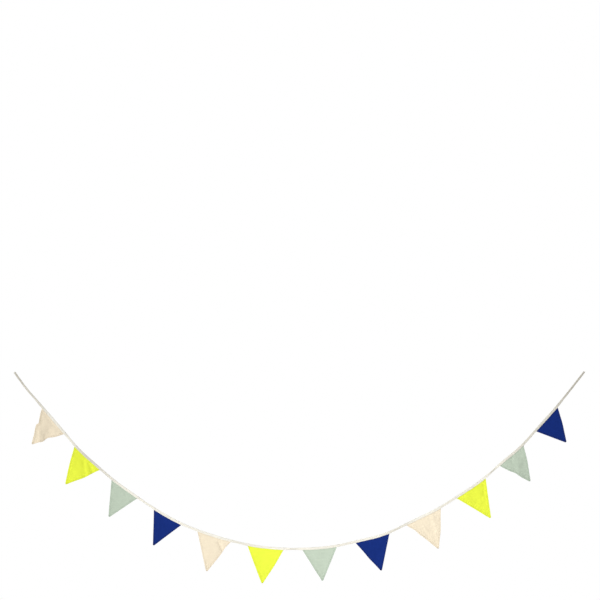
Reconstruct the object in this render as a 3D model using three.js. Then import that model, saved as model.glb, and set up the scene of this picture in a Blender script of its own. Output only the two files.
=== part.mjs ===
// Fabric bunting: twelve hemmed cotton pennants, their tops sewn into one length of folded binding tape,
// hung by the tape's two ends so that it sags in a long, slightly uneven curve.
//
// Millimetres and degrees, +Z up. The origin is the middle of the tape's left-hand end, where it is
// fastened. +X runs towards the other end, and the fronts of the pennants face -Y.

import * as THREE from 'three';

// ---------------------------------------------------------------- driving dimensions

const PENNANT_THICKNESS = 1.2;
const LEAF_THICKNESS = 1.0; // each of the tape's two leaves
const CLEARANCE = 0.35; // between a pennant and the tape around it
const CLOSED_SLOT = 0.4; // between the leaves where no pennant lies between them

const TAPE_OVER_PENNANT = 10.5; // height of the folded tape
const TAPE_BARE = 10;
const TAPE_AT_ENDS = 8.5;
const SHOULDER = 0.9; // how far the ridge of the fold stands above the leaves' flat faces

const OPEN_MARGIN = 2.5; // the slot stays open this far past a pennant's hidden corner
const CLOSING_LENGTH = 7; // and closes over this length
const GAP_STEPS = 6; // sections along the closed part of a gap
const END_STEP = 32; // spacing of the sections along the bare ends

// Divisions of a pennant's mesh: across from side to side, and down from the tape to its rounded tip.
const CREASED = { across: 10, down: 8 };
const SMOOTH = { across: 6, down: 5 };
const TIP_RADIUS = 5;
const TIP_ANGLES = [48, 14]; // rows round the tip, measured from its lowest point

const EMERGING = 1; // the cloth is still flat this far below the tape
const FREE_BELOW = 16; // and bends freely from this far below it

// The bare tape beyond the first gap and after the last pennant. slope is its fall towards the right.
const LEFT_END = { length: 65, slope: 55.2, sway: 0 };
const RIGHT_END = { length: 190.5, slope: -51.8, sway: 0 };

// A row for each pennant, from the left. gap is the length of bare tape before it and gapSlope that
// tape's fall, gapRoll its roll about its own length and gapSway how far it stands behind the plane;
// width is the pennant's along the tape and slope its fall; the tip lies tipAt along and depth below the
// left corner, forward of the plane by tipOut; belly and cup bow it downwards and across; sway is the
// tape's distance behind the plane.
const PENNANTS = [
  { colour: 'cream', gap: 129.5, gapSlope: 48.3, gapRoll: 0, gapSway: 0,
    width: 145, slope: 49.5, tipAt: 88.5, depth: 130, tipOut: 7, belly: 5, cup: 4, sway: 1 },
  { colour: 'yellow', gap: 69, gapSlope: 50.9, gapRoll: 24, gapSway: 3,
    width: 148, slope: 41.3, tipAt: 83, depth: 144, tipOut: -4, belly: 4, cup: -3, sway: 3 },
  { colour: 'sage', gap: 66, gapSlope: 40.9, gapRoll: -18, gapSway: 1,
    width: 135, slope: 35, tipAt: 84, depth: 133, tipOut: 5, belly: 2, cup: 2, sway: 0 },
  { colour: 'blue', gap: 86, gapSlope: 34, gapRoll: 28, gapSway: -2,
    width: 135, slope: 30, tipAt: 73.5, depth: 134, tipOut: 3, belly: -3, cup: 2, sway: -2 },
  { colour: 'cream', gap: 73, gapSlope: 22, gapRoll: -26, gapSway: -1,
    width: 151, slope: 17.5, tipAt: 89.5, depth: 149.5, tipOut: 6, belly: 3, cup: -4, sway: 1 },
  { colour: 'yellow', gap: 71.5, gapSlope: 13.6, gapRoll: 20, gapSway: 3,
    width: 155, slope: 6.3, tipAt: 81, depth: 152.5, tipOut: -3, belly: 3, cup: 3, sway: 3 },
  { colour: 'sage', gap: 80.2, gapSlope: 0.1, gapRoll: 30, gapSway: 1,
    width: 148, slope: -4.5, tipAt: 74, depth: 138, tipOut: 4, belly: 2, cup: 2, sway: -1 },
  { colour: 'blue', gap: 81, gapSlope: -13, gapRoll: -30, gapSway: -3,
    width: 151, slope: -13, tipAt: 75.5, depth: 145, tipOut: -5, belly: -3, cup: 3, sway: -2 },
  { colour: 'cream', gap: 80, gapSlope: -26.6, gapRoll: 22, gapSway: 0,
    width: 164, slope: -24.5, tipAt: 78, depth: 148, tipOut: 6, belly: 3, cup: 4, sway: 2 },
  { colour: 'yellow', gap: 80, gapSlope: -32.4, gapRoll: -24, gapSway: 3,
    width: 151, slope: -33.3, tipAt: 71, depth: 150, tipOut: 4, belly: -3, cup: 3, sway: 2 },
  { colour: 'sage', gap: 80, gapSlope: -42.6, gapRoll: 26, gapSway: 0,
    width: 134, slope: -38.5, tipAt: 55, depth: 135, tipOut: -4, belly: 3, cup: 3, sway: -1 },
  { colour: 'blue', gap: 81, gapSlope: -48.8, gapRoll: -20, gapSway: -2,
    width: 138, slope: -47.5, tipAt: 50, depth: 125, tipOut: 5, belly: 3, cup: 2, sway: 0 },
];

// The main folds, each a soft ridge (rise above 0) or trough along a line from (along, down) to
// (toAlong, toDown), measured like the tips. breadth is the distance at which it has mostly died away.
const FOLDS = [
  { pennant: 1, along: 98, down: 38, toAlong: 120, toDown: 62, rise: -3.4, breadth: 17 },
  { pennant: 1, along: 68, down: 69, toAlong: 102, toDown: 99, rise: 2, breadth: 8 },
  { pennant: 2, along: 70, down: 19, toAlong: 112, toDown: 57, rise: -1.6, breadth: 9 },
  { pennant: 2, along: 94, down: 8, toAlong: 133, toDown: 30, rise: -2.4, breadth: 8 },
  { pennant: 5, along: 103, down: 17, toAlong: 126, toDown: 43, rise: -2.2, breadth: 9 },
  { pennant: 9, along: 118, down: 16, toAlong: 92, toDown: 112, rise: 1.2, breadth: 10 },
  { pennant: 10, along: 139, down: 6, toAlong: 106, toDown: 52, rise: -1.2, breadth: 8 },
  { pennant: 11, along: 75, down: 26, toAlong: 41, toDown: 71, rise: 1.2, breadth: 12 },
];

// Where a side bends out of line: by is outwards, centred down below the tape and spread over a length.
const SIDE_BENDS = [
  { pennant: 1, side: 'left', down: 44, by: -4, spread: 16 },
  { pennant: 1, side: 'left', down: 74, by: 4, spread: 14 },
  { pennant: 1, side: 'left', down: 50, by: -2.5, spread: 7 },
  { pennant: 1, side: 'left', down: 61, by: 3, spread: 7 },
  { pennant: 1, side: 'right', down: 62, by: -6, spread: 16 },
  { pennant: 1, side: 'right', down: 88, by: 3, spread: 10 },
  { pennant: 2, side: 'left', down: 70, by: 2.5, spread: 50 },
  { pennant: 2, side: 'right', down: 70, by: 4, spread: 34 },
  { pennant: 5, side: 'right', down: 30, by: -4, spread: 22 },
  { pennant: 6, side: 'right', down: 70, by: 2.5, spread: 50 },
  { pennant: 8, side: 'left', down: 84, by: 2, spread: 26 },
  { pennant: 9, side: 'left', down: 34, by: -5, spread: 18 },
  { pennant: 9, side: 'left', down: 84, by: -3, spread: 36 },
  { pennant: 9, side: 'right', down: 80, by: 4, spread: 40 },
  { pennant: 11, side: 'left', down: 66, by: -4, spread: 18 },
  { pennant: 11, side: 'right', down: 60, by: 3, spread: 40 },
  { pennant: 12, side: 'right', down: 60, by: 3, spread: 40 },
];

const COLOURS = { cream: 0xf3e4cd, yellow: 0xf4fb46, sage: 0xc4d2bf, blue: 0x182c82 };
const TAPE_COLOUR = 0xe9e2d3;

const RADIANS = Math.PI / 180;
const BACK = new THREE.Vector3(0, 1, 0);

// ---------------------------------------------------------------- the tape's route

const stretches = [{ ...LEFT_END }];
for (const row of PENNANTS) {
  stretches.push({ length: row.gap, slope: row.gapSlope, sway: row.gapSway });
  stretches.push({ length: row.width, slope: row.slope, sway: row.sway });
}
stretches.push({ ...RIGHT_END });

let tapeLength = 0;
for (const stretch of stretches) {
  stretch.start = tapeLength;
  stretch.middle = tapeLength + stretch.length / 2;
  tapeLength += stretch.length;
}

// The value of a stretch's column at distance s, eased from the middle of each stretch to the next.
function columnAt(column, s, ease) {
  const next = stretches.findIndex((stretch) => stretch.middle > s);
  if (next === 0) return stretches[0][column];
  if (next < 0) return stretches.at(-1)[column];
  const from = stretches[next - 1];
  const to = stretches[next];
  const share = (s - from.middle) / (to.middle - from.middle);
  return THREE.MathUtils.lerp(from[column], to[column], ease(share));
}

const steadily = (share) => share;
const gently = (share) => share * share * (3 - 2 * share);

// The route is followed in short steps, each along the slope at its middle. It starts half the tape's
// height above the origin.
const STEP = 1;
const up = new THREE.Vector3(Math.sin(LEFT_END.slope * RADIANS), 0, Math.cos(LEFT_END.slope * RADIANS));
const steps = [up.multiplyScalar(TAPE_AT_ENDS / 2)];
while (steps.length * STEP <= tapeLength + STEP) {
  const slope = columnAt('slope', (steps.length - 0.5) * STEP, steadily) * RADIANS;
  const onward = new THREE.Vector3(Math.cos(slope), 0, -Math.sin(slope));
  steps.push(steps.at(-1).clone().addScaledVector(onward, STEP));
}

// The top edge of the tape at distance s from its left-hand end, and the way down across the tape there.
function routeAt(s) {
  const before = Math.min(Math.floor(s / STEP), steps.length - 2);
  const point = steps[before].clone().lerp(steps[before + 1], s / STEP - before);
  point.y = columnAt('sway', s, gently);
  const slope = columnAt('slope', s, steadily) * RADIANS;
  return { point, down: new THREE.Vector3(-Math.sin(slope), 0, -Math.cos(slope)) };
}

// ---------------------------------------------------------------- where each pennant sits

const TOP_INSET = LEAF_THICKNESS + CLEARANCE;
const HIDDEN = TAPE_OVER_PENNANT - TOP_INSET; // how far a pennant reaches up inside the tape

const seats = PENNANTS.map((row, index) => {
  const { start } = stretches[2 * index + 2];
  const end = start + row.width;
  const leftCorner = routeAt(start);
  const rightCorner = routeAt(end);
  const left = leftCorner.point.clone().addScaledVector(leftCorner.down, TAPE_OVER_PENNANT);
  const right = rightCorner.point.clone().addScaledVector(rightCorner.down, TAPE_OVER_PENNANT);
  left.y = 0;
  right.y = 0;
  const onward = right.clone().sub(left).normalize();
  const downward = BACK.clone().cross(onward);
  const tip = left.clone().addScaledVector(onward, row.tipAt).addScaledVector(downward, row.depth);
  const divisions = FOLDS.some(({ pennant }) => pennant === index + 1) ? CREASED : SMOOTH;
  return {
    ...row,
    ...divisions,
    name: `pennant_${String(index + 1).padStart(2, '0')}_${row.colour}`,
    number: index + 1,
    start,
    from: start - (HIDDEN * row.tipAt) / row.depth,
    to: end + (HIDDEN * (row.width - row.tipAt)) / row.depth,
    left,
    onward,
    downward,
    tip,
  };
});

// ---------------------------------------------------------------- closed meshes

// A closed solid from rings of points, one ring to a section, and the two end faces' triangles. Each face
// between two rings is split along one diagonal, or along the other where swapped says so for its corner:
// the two faces of a thin wall have to be split the same way, or a twist would push one through the other.
function loft(rings, cap, swapped) {
  const size = rings[0].length;
  const positions = rings.flat().flatMap((point) => point.toArray());
  const indices = [];
  for (let ring = 0; ring + 1 < rings.length; ring++) {
    for (let corner = 0; corner < size; corner++) {
      const a = ring * size + corner;
      const b = ring * size + ((corner + 1) % size);
      if (swapped[corner]) indices.push(a, b, a + size, b, b + size, a + size);
      else indices.push(a, b, b + size, a, b + size, a + size);
    }
  }
  const last = (rings.length - 1) * size;
  for (const [a, b, c] of cap) {
    indices.push(a, c, b, last + a, last + b, last + c);
  }
  const geometry = new THREE.BufferGeometry();
  geometry.setAttribute('position', new THREE.Float32BufferAttribute(positions, 3));
  geometry.setIndex(indices);
  geometry.computeVertexNormals();
  return geometry;
}

// ---------------------------------------------------------------- the tape

// One section of the folded tape, as (distance down, distance back) pairs round its outline.
function tapeSection(height, slot) {
  const inner = slot / 2;
  const outer = inner + LEAF_THICKNESS;
  return [
    [height, -outer],
    [height, -inner],
    [LEAF_THICKNESS, -inner],
    [LEAF_THICKNESS, inner],
    [height, inner],
    [height, outer],
    [SHOULDER, outer],
    [0, 0],
    [SHOULDER, -outer],
  ];
}

function tapeStations() {
  const open = { height: TAPE_OVER_PENNANT, slot: PENNANT_THICKNESS + 2 * CLEARANCE };
  const bare = { height: TAPE_BARE, slot: CLOSED_SLOT };
  const atEnd = { height: TAPE_AT_ENDS, slot: CLOSED_SLOT };
  const stations = [];
  const firstClosed = seats[0].from - OPEN_MARGIN - CLOSING_LENGTH;
  for (let s = 0; s < firstClosed - END_STEP / 2; s += END_STEP) {
    stations.push({ s, ...atEnd });
  }
  seats.forEach((seat, index) => {
    const closedBefore = seat.from - OPEN_MARGIN - CLOSING_LENGTH;
    const closedAfter = seat.to + OPEN_MARGIN + CLOSING_LENGTH;
    stations.push({ s: closedBefore, ...bare });
    stations.push({ s: seat.from - OPEN_MARGIN, ...open });
    for (let step = 0; step <= seat.across; step++) {
      stations.push({ s: THREE.MathUtils.lerp(seat.from, seat.to, step / seat.across), ...open });
    }
    stations.push({ s: seat.to + OPEN_MARGIN, ...open });
    stations.push({ s: closedAfter, ...bare });
    const following = seats[index + 1];
    if (!following) return;
    const gapEnd = following.from - OPEN_MARGIN - CLOSING_LENGTH;
    for (let step = 1; step < GAP_STEPS; step++) {
      const share = step / GAP_STEPS;
      const s = THREE.MathUtils.lerp(closedAfter, gapEnd, share);
      stations.push({ s, ...bare, roll: following.gapRoll * Math.sin(Math.PI * share) });
    }
  });
  const endSteps = Math.floor((tapeLength - stations.at(-1).s) / END_STEP);
  for (let step = endSteps - 1; step >= 0; step--) {
    stations.push({ s: tapeLength - step * END_STEP, ...atEnd });
  }
  return stations;
}

function makeTape() {
  const rings = tapeStations().map(({ s, height, slot, roll = 0 }) => {
    const { point, down } = routeAt(s);
    const turn = roll * RADIANS;
    const across = down.clone().multiplyScalar(Math.cos(turn)).addScaledVector(BACK, Math.sin(turn));
    const through = BACK.clone().multiplyScalar(Math.cos(turn)).addScaledVector(down, -Math.sin(turn));
    const middle = point.clone().addScaledVector(down, height / 2);
    return tapeSection(height, slot).map(([fromTop, fromMiddle]) =>
      middle.clone().addScaledVector(across, fromTop - height / 2).addScaledVector(through, fromMiddle));
  });
  const outline = tapeSection(TAPE_AT_ENDS, CLOSED_SLOT).map(([x, y]) => new THREE.Vector2(x, y));
  const runsUp = outline.map(({ x }, corner) => x > outline[(corner + 1) % outline.length].x);
  return loft(rings, THREE.ShapeUtils.triangulateShape(outline, []), runsUp);
}

// ---------------------------------------------------------------- the pennants

// How far a pennant's cloth stands forward of the tape's plane at (along, down) in its own sheet.
// across runs from -1 on the left side to 1 on the right.
function forwardOf(seat, sheetAlong, sheetDown, across) {
  const fall = THREE.MathUtils.clamp(sheetDown / seat.depth, 0, 1);
  let forward = seat.tipOut * fall * fall;
  forward += seat.belly * Math.sin(Math.PI * fall);
  forward += seat.cup * across * across * Math.sqrt(fall) * (1 - fall);
  const here = new THREE.Vector3(sheetAlong, sheetDown, 0);
  for (const fold of FOLDS.filter(({ pennant }) => pennant === seat.number)) {
    const line = new THREE.Line3(
      new THREE.Vector3(fold.along, fold.down, 0),
      new THREE.Vector3(fold.toAlong, fold.toDown, 0),
    );
    const nearest = line.closestPointToPoint(here, true, new THREE.Vector3());
    forward += fold.rise * Math.exp(-((here.distanceTo(nearest) / fold.breadth) ** 2));
  }
  return forward * gently(THREE.MathUtils.clamp((sheetDown - EMERGING) / FREE_BELOW, 0, 1));
}

// How far a side of a pennant bends outwards at a distance down its sheet.
function sideBend(seat, side, sheetDown) {
  return SIDE_BENDS
    .filter((bend) => bend.pennant === seat.number && bend.side === side)
    .reduce((sum, bend) => sum + bend.by * Math.exp(-(((sheetDown - bend.down) / bend.spread) ** 2)), 0);
}

function makePennant(seat) {
  const halfAngle = Math.atan(seat.width / 2 / seat.depth);
  const apexBeyondTip = TIP_RADIUS / Math.sin(halfAngle) - TIP_RADIUS;
  const apex = seat.tip.clone().addScaledVector(seat.downward, apexBeyondTip);
  const toApex = seat.depth + HIDDEN + apexBeyondTip;

  // Each row's height above the apex, as a share of the whole, and how much the rounding narrows it.
  const rowsDown = [{ share: 1, narrowing: 1 }];
  const emerging = 1 - (HIDDEN + EMERGING) / toApex;
  const tangent = (TIP_RADIUS * Math.cos(halfAngle) ** 2) / Math.sin(halfAngle) / toApex;
  for (let row = 0; row <= seat.down; row++) {
    rowsDown.push({ share: THREE.MathUtils.lerp(emerging, tangent, row / seat.down), narrowing: 1 });
  }
  for (const degrees of TIP_ANGLES) {
    const height = TIP_RADIUS / Math.sin(halfAngle) - TIP_RADIUS * Math.cos(degrees * RADIANS);
    const halfWidth = TIP_RADIUS * Math.sin(degrees * RADIANS);
    rowsDown.push({ share: height / toApex, narrowing: halfWidth / (height * Math.tan(halfAngle)) });
  }

  const rows = rowsDown.map(({ share, narrowing }) => {
    const points = [];
    for (let step = 0; step <= seat.across; step++) {
      const across = ((2 * step) / seat.across - 1) * narrowing;
      const top = routeAt(THREE.MathUtils.lerp(seat.from, seat.to, (across + 1) / 2));
      const topEdge = top.point.clone().addScaledVector(top.down, TOP_INSET);
      topEdge.y = 0;
      const point = apex.clone().lerp(topEdge, share);
      const fromLeft = point.clone().sub(seat.left);
      const sheetAlong = fromLeft.dot(seat.onward);
      const sheetDown = fromLeft.dot(seat.downward);
      const sway = columnAt('sway', seat.start + sheetAlong, gently);
      const leftward = sideBend(seat, 'left', sheetDown) * Math.max(-across, 0);
      const rightward = sideBend(seat, 'right', sheetDown) * Math.max(across, 0);
      point.addScaledVector(seat.onward, rightward - leftward);
      const forward = forwardOf(seat, sheetAlong, sheetDown, across);
      point.y = sway * Math.min(share / emerging, 1) - forward;
      points.push(point);
    }
    return points;
  });

  // Each row of the sheet is a ring: along its rear from left to right, then back along its front.
  const rings = rows.map((points) => [
    ...points.map((point) => point.clone().addScaledVector(BACK, PENNANT_THICKNESS / 2)),
    ...points.map((point) => point.clone().addScaledVector(BACK, -PENNANT_THICKNESS / 2)).reverse(),
  ]);
  const cap = [];
  const lastCorner = 2 * seat.across + 1;
  for (let step = 0; step < seat.across; step++) {
    cap.push([step, step + 1, lastCorner - step - 1], [step, lastCorner - step - 1, lastCorner - step]);
  }
  const onFront = rings[0].map((_, corner) => corner > seat.across);
  return loft(rings, cap, onFront);
}

// ---------------------------------------------------------------- assembly

function cloth(name, geometry, color) {
  const material = new THREE.MeshStandardMaterial({ color, roughness: 0.9, metalness: 0 });
  const mesh = new THREE.Mesh(geometry, material);
  mesh.name = name;
  return mesh;
}

const bunting = new THREE.Group();
bunting.add(cloth('tape', makeTape(), TAPE_COLOUR));
for (const seat of seats) {
  bunting.add(cloth(seat.name, makePennant(seat), COLOURS[seat.colour]));
}

export default bunting;
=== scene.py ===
# %% [markdown]
# # A fabric bunting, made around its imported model
# Twelve hemmed cotton pennants hang from one length of folded binding tape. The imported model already
# says where every piece hangs, so it is loaded first and never moved. Each plain solid in it is then
# replaced by a piece of cloth made from the same few sizes: cut flat, hemmed, and hung in its folds.

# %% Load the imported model
import math
from types import SimpleNamespace

import bpy
import numpy as np
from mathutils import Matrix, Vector, geometry


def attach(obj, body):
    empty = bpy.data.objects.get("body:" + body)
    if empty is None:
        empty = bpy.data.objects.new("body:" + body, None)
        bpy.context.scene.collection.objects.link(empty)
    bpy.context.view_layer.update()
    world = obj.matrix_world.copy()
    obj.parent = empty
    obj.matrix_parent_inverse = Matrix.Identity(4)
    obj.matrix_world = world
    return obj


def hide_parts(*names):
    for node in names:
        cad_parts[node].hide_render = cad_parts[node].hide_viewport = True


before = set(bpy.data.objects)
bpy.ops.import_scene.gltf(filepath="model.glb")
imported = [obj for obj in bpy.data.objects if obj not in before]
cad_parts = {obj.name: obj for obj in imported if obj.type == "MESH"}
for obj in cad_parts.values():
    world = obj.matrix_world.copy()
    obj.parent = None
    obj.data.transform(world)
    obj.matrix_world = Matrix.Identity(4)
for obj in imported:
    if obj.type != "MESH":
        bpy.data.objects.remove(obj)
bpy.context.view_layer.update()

# %% [markdown]
# ## The camera
# The camera comes first, because everything else is judged through it. It is level and looks straight
# at the hanging bunting from well back, with a long lens, so the pennants at both ends are seen square
# on. The lens follows from the width that has to fill the picture.

# %% Camera
VIEW_WIDTH = 2.580  # metres across the picture at the bunting
VIEW_CENTRE = Vector((1.2278, 0.0, 0.3086))
CAMERA_DISTANCE = 6.0
CAMERA_ROLL = 0.12
SENSOR_WIDTH = 36.0

camera_data = bpy.data.cameras.new("camera")
camera_data.sensor_width = SENSOR_WIDTH
camera_data.lens = SENSOR_WIDTH * CAMERA_DISTANCE / VIEW_WIDTH
camera = bpy.data.objects.new("camera", camera_data)
camera.location = VIEW_CENTRE + Vector((0, -CAMERA_DISTANCE, 0))
camera.rotation_euler = (math.radians(90), math.radians(CAMERA_ROLL), 0)
bpy.context.scene.collection.objects.link(camera)
bpy.context.scene.camera = camera
print(f"lens {camera_data.lens:.1f} mm at {CAMERA_DISTANCE} m")

# %% [markdown]
# ## Small helpers
# Meshes are worked out in millimetres, as a maker measures, and turned into Blender's metres in one
# place. Node trees are long when each node takes a line to add and more lines to wire up, so the other
# helpers do both in one call. That keeps the trees below short enough to read.

# %% Helpers for meshes
MM = 0.001


def mesh_object(name, points, edges=(), faces=()):
    """A new object from points in millimetres."""
    mesh = bpy.data.meshes.new(name)
    mesh.from_pydata((np.asarray(points) * MM).tolist(), edges, faces)
    made = bpy.data.objects.new(name, mesh)
    bpy.context.scene.collection.objects.link(made)
    return made


def give(obj, **values):
    """Stores numbers or vectors for the points of a mesh, under names that node trees can read."""
    for name, each in values.items():
        each = np.asarray(each, np.float32)
        kind, key = ("FLOAT", "value") if each.ndim == 1 else ("FLOAT_VECTOR", "vector")
        obj.data.attributes.new(name, kind, "POINT").data.foreach_set(key, each.ravel())


# %% Helpers for nodes
# A Mix node has a pair of inputs and an output for each kind of value, known only by their numbers.
MIX_SOCKETS = {"FLOAT": (2, 3, 0), "RGBA": (6, 7, 2)}
DEFAULT_KINDS = {float: "Float", int: "Int", tuple: "Color"}


def node(tree, kind, inputs=None, **settings):
    """Adds a node. inputs holds, for each socket's name or number, a value or the output to wire in."""
    made = tree.nodes.new(kind)
    for key, value in settings.items():
        setattr(made, key, value)
    for socket, value in (inputs or {}).items():
        if isinstance(value, bpy.types.NodeSocket):
            tree.links.new(value, made.inputs[socket])
        else:
            made.inputs[socket].default_value = value
    return made


def first(tree, kind, inputs=None, **settings):
    """Adds a node, and returns its first output."""
    return node(tree, kind, inputs, **settings).outputs[0]


def calc(tree, operation, *values):
    """One Math node's output."""
    return first(tree, "ShaderNodeMath", dict(enumerate(values)), operation=operation)


def on_vectors(tree, operation, *values):
    """One Vector Math node's output."""
    return first(tree, "ShaderNodeVectorMath", dict(enumerate(values)), operation=operation)


def stretched(tree, vector, factor):
    return first(tree, "ShaderNodeVectorMath", {0: vector, "Scale": factor}, operation="SCALE")


def blend(tree, kind, share, this, that):
    """A Mix node's output, which goes from this to that as share goes from 0 to 1."""
    low, high, out = MIX_SOCKETS[kind]
    return node(tree, "ShaderNodeMix", {0: share, low: this, high: that}, data_type=kind).outputs[out]


def group(name, family, inputs, outputs):
    """A new group, its inputs and its outputs. An input is given by its default, or else by its kind."""
    tree = bpy.data.node_groups.new(name, f"{family}NodeTree")
    for key, value in inputs.items():
        kind = value if isinstance(value, str) else DEFAULT_KINDS[type(value)]
        socket = tree.interface.new_socket(key, in_out="INPUT", socket_type=f"NodeSocket{kind}")
        if kind != value:
            socket.default_value = value
    for key, kind in outputs.items():
        tree.interface.new_socket(key, in_out="OUTPUT", socket_type=f"NodeSocket{kind}")
    return tree, tree.nodes.new("NodeGroupInput").outputs, tree.nodes.new("NodeGroupOutput").inputs


# %% [markdown]
# ## The studio
# A white surround and a pale floor give a product picture. The floor and the sky both have to reach
# plain white in the picture without lighting the cloth flat, so each shows white to the camera and
# gives the cloth a weaker light. The rest comes from soft boxes. The main one stands above to the left
# and draws the folds. Two weak ones, in front of the middle and of the right, keep the far end from
# going dark, and one behind is for whoever walks round it.

# %% Floor and sky
FLOOR_DEPTH = -1.30
FLOOR_SIZE = 60.0
SKY_ON_CLOTH = 0.229


def white_to_camera(tree, glow, lighting, end):
    """Ends a shader tree: plain white for the camera, and the other shader for everything else."""
    seen = node(tree, "ShaderNodeLightPath").outputs["Is Camera Ray"]
    white = first(tree, glow, {"Color": (1, 1, 1, 1), "Strength": 1.0})
    either = first(tree, "ShaderNodeMixShader", {0: seen, 1: lighting, 2: white})
    node(tree, end, {"Surface": either})


bpy.context.scene.view_settings.view_transform = "Standard"
world = bpy.data.worlds.new("white surround")
world.use_nodes = True
world.node_tree.nodes.clear()
bpy.context.scene.world = world
weak = {"Color": (1, 1, 1, 1), "Strength": SKY_ON_CLOTH}
sky = first(world.node_tree, "ShaderNodeBackground", weak)
white_to_camera(world.node_tree, "ShaderNodeBackground", sky, "ShaderNodeOutputWorld")

half = FLOOR_SIZE / 2 / MM
low = FLOOR_DEPTH / MM
corners = [(-half, -half, low), (half, -half, low), (half, half, low), (-half, half, low)]
floor = mesh_object("floor", corners, faces=[(0, 1, 2, 3)])
paper = bpy.data.materials.new("floor paper")
paper.use_nodes = True
paper.node_tree.nodes.clear()
matt = first(paper.node_tree, "ShaderNodeBsdfDiffuse", {"Color": (0.7, 0.7, 0.7, 1)})
white_to_camera(paper.node_tree, "ShaderNodeEmission", matt, "ShaderNodeOutputMaterial")
floor.data.materials.append(paper)
print("floor", FLOOR_SIZE, "m wide at", FLOOR_DEPTH, "m, sky on the cloth:", SKY_ON_CLOTH)

# %% Soft boxes
# Each row: where the box stands, what it points at, its width and height, and its power in watts.
SOFT_BOXES = {
    "left": ((-3.50, -2.60, 1.40), (1.00, 0.0, -0.50), (1.2, 1.2), 172.0),
    "front": ((1.40, -1.60, -0.55), (1.40, 0.0, -0.55), (1.2, 0.9), 14.8),
    "right": ((2.80, -1.60, -0.30), (2.80, 0.0, -0.40), (0.8, 0.8), 4.6),
    "behind": ((1.60, 2.20, 0.70), (1.23, 0.0, -0.45), (1.6, 1.2), 45.0),
}
for name, (place, aim, size, power) in SOFT_BOXES.items():
    box = bpy.data.lights.new(name, "AREA")
    box.shape = "RECTANGLE"
    box.size, box.size_y = size
    box.energy = power
    lamp = bpy.data.objects.new(name, box)
    lamp.location = place
    lamp.rotation_euler = (Vector(aim) - Vector(place)).to_track_quat("-Z", "Y").to_euler()
    lamp.visible_camera = False
    bpy.context.scene.collection.objects.link(lamp)
print("soft boxes:", ", ".join(SOFT_BOXES))

# %% [markdown]
# ## The sizes of the bunting
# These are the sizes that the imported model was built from, in millimetres and degrees, so the cloth
# lands exactly on its solids. A table has a row for each pennant: the bare tape before it, its own
# width and slope, where its tip hangs, and how far it bows and stands out of the plane. The folds and
# the bent sides are the solids' too. The creases are smaller and belong to the cloth alone.

# %% Sizes and tables
TAPE_OVER_PENNANT = 10.5  # height of the folded tape
TAPE_BARE = 10.0
TAPE_AT_ENDS = 8.5
TOP_INSET = 1.35  # the top of a pennant lies this far below the fold
HIDDEN = TAPE_OVER_PENNANT - TOP_INSET
OPEN_MARGIN = 2.5  # the slot stays open this far beyond a pennant's top edge
CLOSING_LENGTH = 7.0  # and closes over this length
EMERGING = 1.0  # a pennant hangs straight this far below the tape
FREE_BELOW = 16.0  # and is free to bow once it is this much lower
TIP_RADIUS = 5.0

LEFT_END = dict(length=65, slope=55.2, sway=0)
RIGHT_END = dict(length=190.5, slope=-51.8, sway=0)

COLUMNS = "colour gap gap_slope gap_roll gap_sway width slope tip_at depth tip_out belly cup sway".split()
PENNANTS = [
    ("cream", 129.5, 48.3, 0, 0, 145, 49.5, 88.5, 130, 7, 5, 4, 1),
    ("yellow", 69, 50.9, 24, 3, 148, 41.3, 83, 144, -4, 4, -3, 3),
    ("sage", 66, 40.9, -18, 1, 135, 35, 84, 133, 5, 2, 2, 0),
    ("blue", 86, 34, 28, -2, 135, 30, 73.5, 134, 3, -3, 2, -2),
    ("cream", 73, 22, -26, -1, 151, 17.5, 89.5, 149.5, 6, 3, -4, 1),
    ("yellow", 71.5, 13.6, 20, 3, 155, 6.3, 81, 152.5, -3, 3, 3, 3),
    ("sage", 80.2, 0.1, 30, 1, 148, -4.5, 74, 138, 4, 2, 2, -1),
    ("blue", 81, -13, -30, -3, 151, -13, 75.5, 145, -5, -3, 3, -2),
    ("cream", 80, -26.6, 22, 0, 164, -24.5, 78, 148, 6, 3, 4, 2),
    ("yellow", 80, -32.4, -24, 3, 151, -33.3, 71, 150, 4, -3, 3, 2),
    ("sage", 80, -42.6, 26, 0, 134, -38.5, 55, 135, -4, 3, 3, -1),
    ("blue", 81, -48.8, -20, -2, 138, -47.5, 50, 125, 5, 3, 2, 0),
]

# pennant: (along, down, to along, to down, rise, breadth). rise is towards the front.
FOLDS = {
    1: [(98, 38, 120, 62, -3.4, 17), (68, 69, 102, 99, 2, 8)],
    2: [(70, 19, 112, 57, -1.6, 9), (94, 8, 133, 30, -2.4, 8)],
    5: [(103, 17, 126, 43, -2.2, 9)],
    9: [(118, 16, 92, 112, 1.2, 10)],
    10: [(139, 6, 106, 52, -1.2, 8)],
    11: [(75, 26, 41, 71, 1.2, 12)],
}

# pennant, side: (down, by, spread). by is outwards.
SIDE_BENDS = {
    (1, "left"): [(44, -4, 16), (74, 4, 14), (50, -2.5, 7), (61, 3, 7)],
    (1, "right"): [(62, -6, 16), (88, 3, 10)],
    (2, "left"): [(70, 2.5, 50)],
    (2, "right"): [(70, 4, 34)],
    (5, "right"): [(30, -4, 22)],
    (6, "right"): [(70, 2.5, 50)],
    (8, "left"): [(84, 2, 26)],
    (9, "left"): [(34, -5, 18), (84, -3, 36)],
    (9, "right"): [(80, 4, 40)],
    (11, "left"): [(66, -4, 18)],
    (11, "right"): [(60, 3, 40)],
    (12, "right"): [(60, 3, 40)],
}

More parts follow.
